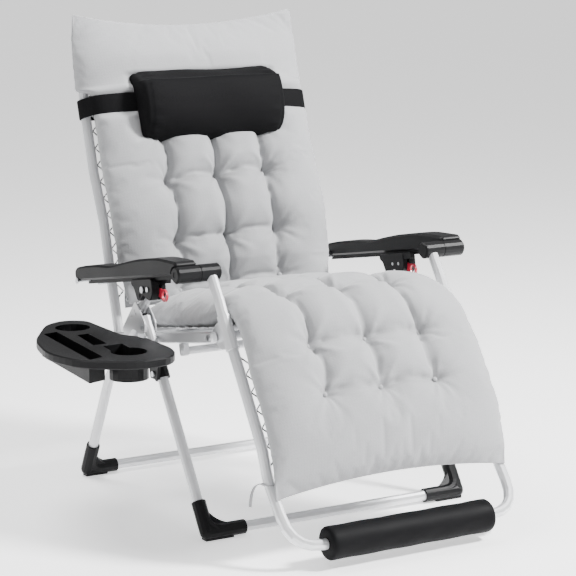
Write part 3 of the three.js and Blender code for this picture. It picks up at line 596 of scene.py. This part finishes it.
    def button(self, x, s):
        """Points of a small covered button, sitting in its tuft, ring by ring."""
        index = np.argmin((self.x - x) ** 2 + (self.s - s) ** 2)
        centre = self.front.reshape(-1, 3)[index]
        ny, nz = (np.interp(s, self.line.run, self.line.normal[:, k]) for k in (0, 1))
        up = np.array([0, ny, nz])
        side = np.array([1.0, 0, 0])
        ahead = np.cross(up, side)
        points = []
        for radius, height in self.BUTTON_PROFILE:
            for turn in range(self.BUTTON_SIDES):
                angle = turn * math.tau / self.BUTTON_SIDES
                outward = math.cos(angle) * side + math.sin(angle) * ahead
                points.append(centre + up * height + radius * outward)
        return points

    def pieces(self, material, cuts=()):
        """One object for each stretch between the cuts, closed by an inner wall where it was cut."""
        rows = self.x.shape[0]
        middle = self.s[:, self.s.shape[1] // 2]
        stops = [0, *[int(np.argmin(np.abs(middle - cut))) for cut in cuts], rows - 1]
        made = []
        for number, (first, last) in enumerate(zip(stops[:-1], stops[1:])):
            name = self.name if not cuts else f"{self.name}_{number + 1}"
            made.append(self.piece(name, material, first, last))
        return made

    def piece(self, name, material, first, last):
        front, back = self.front[first:last + 1], self.back[first:last + 1]
        rows, columns = front.shape[:2]
        number = np.arange(rows * columns).reshape(rows, columns)
        behind = number + rows * columns
        behind[:, 0], behind[:, -1] = number[:, 0], number[:, -1]
        if first == 0:
            behind[0] = number[0]
        if last == self.x.shape[0] - 1:
            behind[-1] = number[-1]
        faces = []
        for i in range(rows - 1):
            for j in range(columns - 1):
                faces.append((number[i, j], number[i, j + 1], number[i + 1, j + 1], number[i + 1, j]))
                faces.append((behind[i, j], behind[i + 1, j], behind[i + 1, j + 1], behind[i, j + 1]))
        outside = len(faces)
        for row, cut in ((0, first > 0), (rows - 1, last < self.x.shape[0] - 1)):
            if not cut:
                continue
            for j in range(columns - 1):
                wall = [number[row, j], number[row, j + 1], behind[row, j + 1], behind[row, j]]
                faces.append(list(dict.fromkeys(wall)))
        points = np.concatenate([front.reshape(-1, 3), back.reshape(-1, 3)])
        around = np.stack([self.x[first:last + 1], self.s[first:last + 1]], axis=-1).reshape(-1, 2)
        uvs = np.concatenate([around, around])
        faces[outside:] = [[int(v) + len(points) for v in face] for face in faces[outside:]]
        points, uvs = np.concatenate([points, points]), np.concatenate([uvs, uvs])
        used = np.unique(np.concatenate([np.array(face) for face in faces]))
        renumber = np.full(len(points), -1)
        renumber[used] = np.arange(len(used))
        faces = [[int(renumber[v]) for v in face] for face in faces]
        points, uvs = points[used], uvs[used]
        margin = self.BUTTON_MARGIN
        low, high = self.s[first].min() - margin, self.s[last].max() + margin
        for x, s in self.tufts.spots():
            if low <= s < high - 2 * margin or (low <= s <= high and last == self.x.shape[0] - 1):
                start = len(points)
                button = self.button(x, s)
                points = np.concatenate([points, button])
                uvs = np.concatenate([uvs, [[x, s]] * len(button)])
                ring_faces = grid_faces(len(self.BUTTON_PROFILE), self.BUTTON_SIDES, start, wrap=True)
                faces += [list(face)[::-1] for face in ring_faces]
        return build(name, points, faces, material, uvs)


# The back pad lies on the sling below, and slips over the frame's top tube as a hood above.
BACK_TUFT_ROWS = ((0.331, 0.462), (0.369, 0.586), (0.417, 0.714), (0.463, 0.845))
PILLOW_MIDDLE = (0.4815, 0.908)
PILLOW_HALF = 0.198
PILLOW_REACH = 0.085


def back_tufts(line):
    rows = [line.nearest(y, z) for y, z in BACK_TUFT_ROWS]
    return Tufts((-0.143, 0.0, 0.143), rows, 0.76, 0.46, (0.0, rows[-1] + 0.05), skew=0.045)


def smooth_step(value, start, end):
    t = np.clip((value - start) / (end - start), 0, 1)
    return t * t * (3 - 2 * t)


def under_headrest(line, x, s):
    """How far the headrest and its strap press into the back pad."""
    away = np.abs(s - line.nearest(*PILLOW_MIDDLE))
    pillow = 1 - smooth_step(np.maximum(away / PILLOW_REACH, np.abs(x) / PILLOW_HALF), 0.72, 1.12)
    strap = 1 - smooth_step(np.abs(s + 0.022 * x - line.nearest(*PILLOW_MIDDLE)), 0.020, 0.040)
    return np.maximum(0.034 * pillow, 0.009 * strap)


back_pad = Pad(
    "back_pad",
    [
        [0.318, 0.440, 0.016, 0.078, 0.286, 0.42],
        [0.350, 0.514, 0.016, 0.104, 0.298, 0.42],
        [0.384, 0.642, 0.016, 0.112, 0.302, 0.42],
        [0.438, 0.762, 0.016, 0.112, 0.301, 0.42],
        [0.478, 0.890, 0.015, 0.104, 0.299, 0.42],
        [0.4952, 0.946, 0.014, 0.096, 0.300, 0.40],
        [0.4988, 0.958, -0.017, 0.092, 0.320, 0.24],
        [0.508, 1.030, -0.018, 0.064, 0.320, 0.22],
        [0.5193, 1.090, -0.019, 0.038, 0.317, 0.30],
        [0.519, 1.148, -0.018, 0.012, 0.313, 0.50],
    ],
    back_tufts,
    end_power=4.0,
    bows=(0.0, 0.033),
    press=under_headrest,
)

# The seat and leg pad is one piece of cloth, from below the shins, over the knees and back to the hips.
SEAT_TUFT_ROWS = (
    (-0.370, 0.325), (-0.301, 0.426), (-0.205, 0.497), (-0.082, 0.468), (0.042, 0.445), (0.165, 0.423),
)


def seat_tufts(line):
    rows = [line.nearest(y, z) for y, z in SEAT_TUFT_ROWS]
    return Tufts((-0.147, 0.0, 0.147), rows, 0.66, 0.42, (rows[0] - 0.02, line.length))


def over_rails(line, x, s):
    """The seat part's sides sink between the rails."""
    seat_part = smooth_step(s, line.nearest(-0.19, 0.495), line.nearest(-0.08, 0.468))
    return 0.013 * seat_part * smooth_step(np.abs(x), 0.17, 0.27)


seat_pad = Pad(
    "seat_pad",
    [
        [-0.454, 0.143, 0.000, 0.034, 0.306, 0.42],
        [-0.440, 0.185, 0.000, 0.054, 0.306, 0.42],
        [-0.412, 0.260, 0.000, 0.074, 0.305, 0.42],
        [-0.324, 0.394, 0.000, 0.086, 0.303, 0.42],
        [-0.262, 0.474, 0.000, 0.080, 0.292, 0.42],
        [-0.205, 0.497, 0.000, 0.074, 0.282, 0.40],
        [-0.110, 0.474, -0.002, 0.084, 0.281, 0.34],
        [0.004, 0.4515, -0.003, 0.092, 0.281, 0.32],
        [0.130, 0.429, -0.003, 0.094, 0.281, 0.32],
        [0.246, 0.409, -0.003, 0.090, 0.279, 0.34],
    ],
    seat_tufts,
    end_power=3.6,
    bows=(0.024, 0.0),
    droop=over_rails,
)

for pad in (back_pad, seat_pad):
    pad.puff()
    pad.detail()

# The back pad is cut below the hood, which keeps its shape round the tube; the seat pad is cut at the knee.
HOOD_CUT = back_pad.line.nearest(0.497, 0.952)
KNEE_CUT = seat_pad.tufts.rows[2]
back_cushion, hood = back_pad.pieces(MATERIALS["grey_fabric"], cuts=(HOOD_CUT,))
leg_cushion, seat_cushion = seat_pad.pieces(MATERIALS["grey_fabric"], cuts=(KNEE_CUT,))
for cushion, node in (
    (back_cushion, "back_cushion"),
    (hood, "back_cushion"),
    (seat_cushion, "seat_cushion"),
    (leg_cushion, "leg_cushion"),
):
    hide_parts(node)

back_line = back_pad.line
hood_y, hood_z = back_line.point(HOOD_CUT)
low_y, low_z = back_line.point(0.06)
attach(hood, "backrest")
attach(back_cushion, "backrest")
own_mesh(back_cushion)
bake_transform(seat_cushion)
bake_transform(leg_cushion)


# ---------------------------------------------------------------- headrest

def pillow_section(count=60):
    """A D, flat against the back pad and round in front: offsets, and distances up the back."""
    angle = np.linspace(0, math.tau, count, endpoint=False)
    bulge = np.cos(angle)
    rise = np.sin(angle)
    depth = np.where(bulge > 0, 0.086 * np.abs(bulge) ** 0.9, -0.010 * np.abs(bulge) ** 0.5)
    return depth, 0.099 * np.sign(rise) * np.abs(rise) ** 0.82


def pillow_axis(up):
    """The distance along the back pad's line, with up measured from the pillow's middle."""
    return back_line.nearest(*PILLOW_MIDDLE) + up


def pillow():
    depth, up = pillow_section()
    count = len(depth)
    angle = np.arange(count) * math.tau / count
    rows, runs = [], []
    for share, lift in zip(*superellipse(PILLOW_HALF, 0.09, 13.0, 120)):
        x = share * PILLOW_HALF
        inset = PILLOW_HALF - abs(x)
        rim = math.exp(-(((inset - 0.030) / 0.016) ** 2))
        seam = math.exp(-(((inset - 0.014) / 0.003) ** 2))
        gathers = 0.0022 * rim * np.cos(angle * 19 + 2 * np.sign(x) + np.sin(angle * 5))
        sagging = 0.0025 * math.sin(x * 19 + 0.6) * np.sin(angle * 3 + x * 9)
        grown = (1 + (gathers + sagging - 0.0022 * seam) / 0.08 * (depth > 0)) * lift
        y, z = back_line.point(pillow_axis(up * grown), 0.062 + depth * grown)
        rows.append(np.stack([np.full(count, x), y, z], axis=-1))
        runs.append(x)
    rows = np.array(rows)
    faces = grid_faces(len(rows), count, wrap=True)
    faces.append(list(range(count))[::-1])
    last = (len(rows) - 1) * count
    faces.append(list(range(last, last + count)))
    uvs = [[run, j * 0.0105] for run in runs for j in range(count)]
    return build("headrest_cushion", rows, [face[::-1] for face in faces], MATERIALS["black_fabric"], uvs)


def strap():
    """The elastic band that loops round the pad, the tubes and the sling."""
    middle = back_line.nearest(*PILLOW_MIDDLE)
    across, offsets = back_pad.front_profile(middle)
    route = [(x, np.interp(x, across, offsets) + 0.0024) for x in np.linspace(0, 0.285, 16)]
    route += [
        (0.298, np.interp(0.298, across, offsets) * 0.5 + 0.030), (0.3075, 0.0340), (0.3135, 0.0140),
        (0.3152, 0.0000), (0.3110, -0.0110), (0.3000, -0.0155), (0.2700, -0.0180), (0.1400, -0.0180),
        (0.0, -0.0180),
    ]
    half = np.array(route)
    loop = np.concatenate([half, (half * [-1, 1])[-2:0:-1]])
    closed = np.concatenate([loop[-3:], loop, loop[:3]])
    chord = np.r_[0, np.cumsum(np.linalg.norm(np.diff(closed, axis=0), axis=1))]
    slope = np.gradient(closed, chord, axis=0)
    even = np.linspace(chord[3], chord[3 + len(loop)], 221)[:-1]
    index = np.clip(np.searchsorted(chord, even, side="right") - 1, 0, len(closed) - 2)
    gap = (chord[index + 1] - chord[index])[:, None]
    t = (even - chord[index])[:, None] / gap
    path = (
        (2 * t**3 - 3 * t**2 + 1) * closed[index] + (t**3 - 2 * t**2 + t) * gap * slope[index]
        + (3 * t**2 - 2 * t**3) * closed[index + 1] + (t**3 - t**2) * gap * slope[index + 1]
    )
    tangent = np.roll(path, -1, axis=0) - np.roll(path, 1, axis=0)
    tangent /= np.linalg.norm(tangent, axis=1)[:, None]
    outward = np.stack([-tangent[:, 1], tangent[:, 0]], axis=1)
    if np.dot(outward[0], [0, 1]) < 0:
        outward = -outward
    section = [
        (-0.0240, 0.0), (-0.0235, 0.0011), (-0.0210, 0.0015), (0.0210, 0.0015),
        (0.0235, 0.0011), (0.0240, 0.0), (0.0225, -0.0004), (-0.0225, -0.0004),
    ]
    vertices, uvs = [], []
    run = np.r_[0, np.cumsum(np.linalg.norm(np.diff(path, axis=0), axis=1))]
    for index, (spot, out) in enumerate(zip(path, outward)):
        for up, thick in section:
            x, offset = spot + out * thick
            y, z = back_line.point(middle + up - 0.022 * x, offset)
            vertices.append((x, y, z))
            uvs.append((run[index], up))
    faces = grid_faces(len(path), len(section), wrap=True)
    last = (len(path) - 1) * len(section)
    for turn in range(len(section)):
        after = (turn + 1) % len(section)
        faces.append((last + turn, last + after, after, turn))
    return build("headrest_strap", vertices, faces, MATERIALS["black_fabric"], uvs)


headrest = pillow()
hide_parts("headrest_pillow")
for piece in (headrest, strap()):
    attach(piece, "headrest")


# ---------------------------------------------------------------- slings

SLING_HALF_WIDTH = 0.262
BACK_SLING_ROWS = [
    [0.352, 0.432], [0.358, 0.514], [0.392, 0.642], [0.444, 0.760], [0.481, 0.890], [0.512, 1.050],
]
LEG_SLING_ROWS = [[-0.416, 0.190], [-0.394, 0.250], [-0.308, 0.380], [-0.262, 0.444]]
SEAT_SLING_ROWS = [[-0.172, 0.4765], [0.0, 0.4462], [0.244, 0.4025]]
SLING_COLUMNS = 45
SLING_ROWS = 61


def sling(name, node, body, rows, half_width):
    """A stretched panel along the line's rows, rippled a little near each side edge."""
    line = Line(rows)
    across = np.linspace(-half_width, half_width, SLING_COLUMNS)
    along = np.linspace(0, line.length, SLING_ROWS)
    s, x = np.meshgrid(along, across, indexing="ij")
    pull = 0.0012 * np.cos(s * math.tau / 0.042) * np.clip(np.abs(x) / half_width * 8 - 7, 0, 1)
    y, z = line.point(s, pull)
    sheets = np.stack([x, y, z], axis=-1)
    faces = grid_faces(SLING_ROWS, SLING_COLUMNS)
    uvs = np.stack([x, s], axis=-1).reshape(-1, 2)
    made = build(name, sheets, faces, MATERIALS["grey_fabric"], uvs)
    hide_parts(node)
    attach(made, body)
    return line


back_sling_line = sling("back_sling_cloth", "back_sling", "backrest", BACK_SLING_ROWS, SLING_HALF_WIDTH)
leg_sling_line = sling("leg_sling_cloth", "leg_sling", "footrest", LEG_SLING_ROWS, SLING_HALF_WIDTH)
sling("seat_sling_cloth", "seat_sling", "seat", SEAT_SLING_ROWS, 0.280)


def eyelets(name, body, line, sign):
    """Metal rings along a sling's edge, one for each turn of the lace."""
    turns, sides = 12, 6
    count = int(line.length / 0.042)
    vertices, faces = [], []
    for number in range(count):
        s = (number + 0.5) * line.length / count
        base = len(vertices)
        for turn in range(turns):
            angle = turn * math.tau / turns
            for side in range(sides):
                around = side * math.tau / sides
                radius = 0.0048 + 0.0014 * math.cos(around)
                x = sign * (SLING_HALF_WIDTH - 0.009) + radius * math.cos(angle)
                y, z = line.point(s + radius * math.sin(angle), 0.0014 * math.sin(around))
                vertices.append((x, float(y), float(z)))
        ring = grid_faces(turns, sides, base, wrap=True)
        last = base + (turns - 1) * sides
        ring += [(last + k, last + (k + 1) % sides, base + (k + 1) % sides, base + k) for k in range(sides)]
        faces += ring
    made = build(name, vertices, faces, MATERIALS["bolt"])
    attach(made, body)


for side, sign in SIDES.items():
    eyelets("back_eyelets_" + side, "backrest", back_sling_line, sign)
    eyelets("leg_eyelets_" + side, "footrest", leg_sling_line, sign)


# ---------------------------------------------------------------- foot roll and ties

ROLL_RADIUS = 0.038
ROLL_HALF_LENGTH = 0.215


def foot_roll():
    """Foam sleeve wrapped round the tube, its edge lapped over in a flap behind."""
    profile = [
        (0.0130, 0.0), (0.0200, 0.0008), (0.0300, 0.0), (0.0355, 0.0022), (0.0376, 0.0060),
        (ROLL_RADIUS, 0.0120),
    ]
    radii = [r for r, _ in profile] + [ROLL_RADIUS] * 22 + [r for r, _ in profile[::-1]]
    inner = np.linspace(0.02, 2 * ROLL_HALF_LENGTH - 0.02, 22)
    places = [d for _, d in profile] + list(inner) + [2 * ROLL_HALF_LENGTH - d for _, d in profile[::-1]]
    turns = 72
    vertices, uvs = [], []
    for radius, distance in zip(radii, places):
        for turn in range(turns):
            angle = turn * math.tau / turns
            lap = 0.0026 * math.exp(-((angle - 0.62) % math.tau) / 0.42)
            soft = 0.0005 * math.sin(distance * 60 + 3 * math.sin(angle * 2))
            reach = radius + (lap + soft) * min(1, max(0, (radius - 0.03) / 0.008)) - 0.0006
            vertices.append((
                distance - ROLL_HALF_LENGTH,
                ROLL_CENTRE[0] + reach * math.cos(angle),
                ROLL_CENTRE[1] + reach * math.sin(angle),
            ))
            uvs.append((distance, angle * ROLL_RADIUS))
    faces = grid_faces(len(radii), turns, wrap=True)
    made = build("foot_roll_foam", vertices, faces, MATERIALS["black_foam"], uvs)
    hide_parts("foot_roll")
    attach(made, "footrest")


def ribbon(name, body, points, width):
    """A flat cloth tape through points, width across along x."""
    rows = np.array(points, float)
    chord = np.r_[0, np.cumsum(np.linalg.norm(np.diff(rows, axis=0), axis=1))]
    even = np.linspace(0, chord[-1], 4 * len(rows))
    path = np.stack([np.interp(even, chord, rows[:, k]) for k in range(3)], axis=1)
    for _ in range(4):
        path[1:-1] = (path[:-2] + 2 * path[1:-1] + path[2:]) / 4
    tangent = np.gradient(path, axis=0)
    tangent /= np.linalg.norm(tangent, axis=1)[:, None]
    wide = np.cross(tangent, [0.35, 0.6, 0.72])
    wide /= np.linalg.norm(wide, axis=1)[:, None]
    flat = np.cross(tangent, wide)
    vertices = []
    for spot, across, thick in zip(path, wide, flat):
        for a, b in ((-1, 0), (0, 1), (1, 0), (0, -1)):
            vertices.append(spot + across * a * width / 2 + thick * b * 0.0009)
    faces = grid_faces(len(path), 4, wrap=True)
    last = (len(path) - 1) * 4
    faces += [(3, 2, 1, 0), (last, last + 1, last + 2, last + 3)]
    made = build(name, vertices, faces, MATERIALS["grey_fabric"])
    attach(made, body)


def ties(side, sign):
    """The tape that ties the leg pad's corner round the tube, with a knot and a loose end."""
    centre_y, centre_z = -0.4275, 0.172
    loop = []
    for turn in range(15):
        angle = turn * math.tau / 12
        reach = TUBE_RADIUS + 0.0016
        loop.append((
            sign * TUBE_X + reach * math.cos(angle),
            centre_y + reach * math.sin(angle) * 0.97,
            centre_z + 0.25 * reach * math.sin(angle) + 0.0006 * turn,
        ))
    ribbon(f"leg_tie_loop_{side}", "footrest", loop, 0.009)
    length = {"right": 1.0, "left": 0.45}[side]
    knot_x = sign * (TUBE_X + 0.014)
    tail = [
        (knot_x, centre_y - 0.004, centre_z + 0.002),
        (knot_x + sign * 0.010 * length, centre_y - 0.006, centre_z + 0.010 * length),
        (knot_x + sign * 0.024 * length, centre_y - 0.004, centre_z + 0.006 * length),
        (knot_x + sign * 0.032 * length, centre_y - 0.002, centre_z - 0.014 * length),
        (knot_x + sign * 0.034 * length, centre_y, centre_z - 0.042 * length),
    ]
    ribbon(f"leg_tie_tail_{side}", "footrest", tail, 0.007)


foot_roll()
for side, sign in SIDES.items():
    ties(side, sign)


# ---------------------------------------------------------------- studio

def camera():
    made = bpy.data.objects.new("camera", bpy.data.cameras.new("camera"))
    azimuth, elevation, distance = math.radians(-30.544), math.radians(10.484), 5.0295
    target = place(0, 0, 0.5137)
    away = Vector((
        math.sin(azimuth) * math.cos(elevation),
        -math.cos(azimuth) * math.cos(elevation),
        math.sin(elevation),
    ))
    made.location = target + away * distance
    made.rotation_euler = (-away).to_track_quat("-Z", "Y").to_euler()
    made.data.sensor_width = 36
    made.data.lens = 131.25
    bpy.context.scene.collection.objects.link(made)
    bpy.context.scene.camera = made


def area_light(name, place_at, size, power):
    data = bpy.data.lights.new(name, "AREA")
    data.shape = "DISK"
    data.size = size
    data.energy = power
    made = bpy.data.objects.new(name, data)
    made.location = place_at
    made.rotation_euler = (place(0, 0, 0.5) - Vector(place_at)).to_track_quat("-Z", "Y").to_euler()
    bpy.context.scene.collection.objects.link(made)


def studio():
    world = bpy.data.worlds.new("studio")
    world.use_nodes = True
    nodes = world.node_tree.nodes
    background = nodes["Background"]
    background.inputs["Strength"].default_value = 0.40
    ramp = nodes.new("ShaderNodeValToRGB")
    ramp.color_ramp.elements[0].position = 0.35
    ramp.color_ramp.elements[0].color = (0.30, 0.30, 0.31, 1)
    ramp.color_ramp.elements[1].position = 0.75
    ramp.color_ramp.elements[1].color = (1, 1, 1, 1)
    sky = nodes.new("ShaderNodeTexCoord")
    height = nodes.new("ShaderNodeSeparateXYZ")
    halved = nodes.new("ShaderNodeMapRange")
    halved.inputs["From Min"].default_value = -1
    link = world.node_tree.links.new
    link(sky.outputs["Generated"], height.inputs[0])
    link(height.outputs["Z"], halved.inputs["Value"])
    link(halved.outputs["Result"], ramp.inputs["Fac"])
    link(ramp.outputs["Color"], background.inputs["Color"])
    bpy.context.scene.world = world
    area_light("key", (2.6, -2.2, 3.4), 0.9, 620)
    area_light("fill", (-3.2, -2.4, 1.6), 2.4, 18)
    area_light("top", (-0.6, 1.0, 3.4), 1.6, 130)
    floor = Shader("pale_floor", (0.93, 0.93, 0.935), 0.7)
    floor.vary_color(floor.noise(floor.place_from("Object"), 1.5, 2), 0.99, 1.01)
    socket(floor.surface, "Emission Color", (1, 1, 1, 1))
    socket(floor.surface, "Emission Strength", 0.9)
    size = 40
    ground = build(
        "floor",
        [(-size, -size, -0.0005), (size, -size, -0.0005), (size, size, -0.0005), (-size, size, -0.0005)],
        [(0, 1, 2, 3)],
        floor.material,
    )


camera()
studio()
